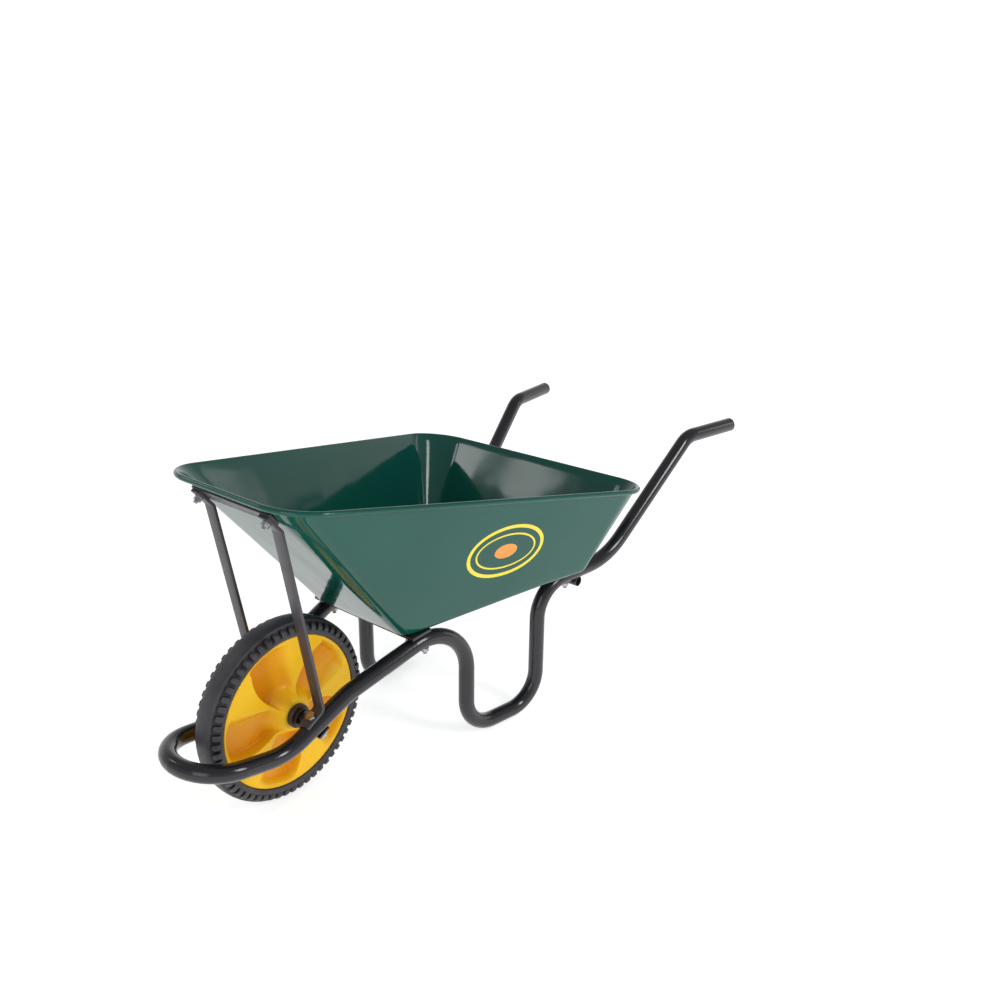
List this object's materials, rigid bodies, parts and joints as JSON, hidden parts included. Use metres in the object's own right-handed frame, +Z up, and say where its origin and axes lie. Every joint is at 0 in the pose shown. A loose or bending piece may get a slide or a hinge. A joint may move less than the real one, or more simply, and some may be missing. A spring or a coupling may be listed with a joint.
{
  "type": "wheelbarrow",
  "caption": "Builder's wheelbarrow with a pressed steel tray, bent tube frame with leg loops and handles, flat nose stays and a wide moulded wheel.",
  "frame": {"origin": "on the floor, midway along the barrow's length and across its width", "axes": "+X from the wheel towards the handles, +Y the barrow's right side, +Z up"},
  "size_m": [1.398, 0.6216, 0.6205],
  "materials": {
    "tray_paint": "gloss",
    "frame_paint": "gloss",
    "stay_paint": "satin",
    "zinc_steel": "satin",
    "axle_steel": "satin",
    "wheel_plastic": "gloss",
    "tyre_rubber": "matte",
    "bush_plastic": "matte",
    "plug_plastic": "matte"
  },
  "bodies": {
    "frame": {"tray": "tray_paint", "left_frame_tube": "frame_paint", "right_frame_tube": "frame_paint", "front_cross_bar": "frame_paint", "rear_cross_brace": "frame_paint", "bar_bolts": "zinc_steel", "bar_bolt_washers": "zinc_steel", "bar_bolt_nuts": "zinc_steel", "tray_bolts": "zinc_steel", "tray_bolt_washers": "zinc_steel", "tray_bolt_nuts": "zinc_steel", "left_stay": "stay_paint", "right_stay": "stay_paint", "nose_tie_bar": "stay_paint", "stay_top_bolts": "zinc_steel", "stay_top_washers": "zinc_steel", "stay_top_nuts": "zinc_steel", "left_axle_bracket": "frame_paint", "right_axle_bracket": "frame_paint", "stay_foot_bolts": "zinc_steel", "stay_foot_washers": "zinc_steel", "stay_foot_nuts": "zinc_steel", "axle": "axle_steel", "axle_spacers": "axle_steel", "axle_nuts": "zinc_steel", "left_handle_plug": "plug_plastic", "right_handle_plug": "plug_plastic"},
    "wheel": {"wheel_centre": "wheel_plastic", "tyre": "tyre_rubber", "left_wheel_bush": "bush_plastic", "right_wheel_bush": "bush_plastic"}
  },
  "joints": [
    {"name": "wheel_spin", "type": "hinge", "parent": "frame", "child": "wheel", "pos_m": [-0.459, 0, 0.175], "axis": [0, 1, 0], "continuous": true}
  ]
}
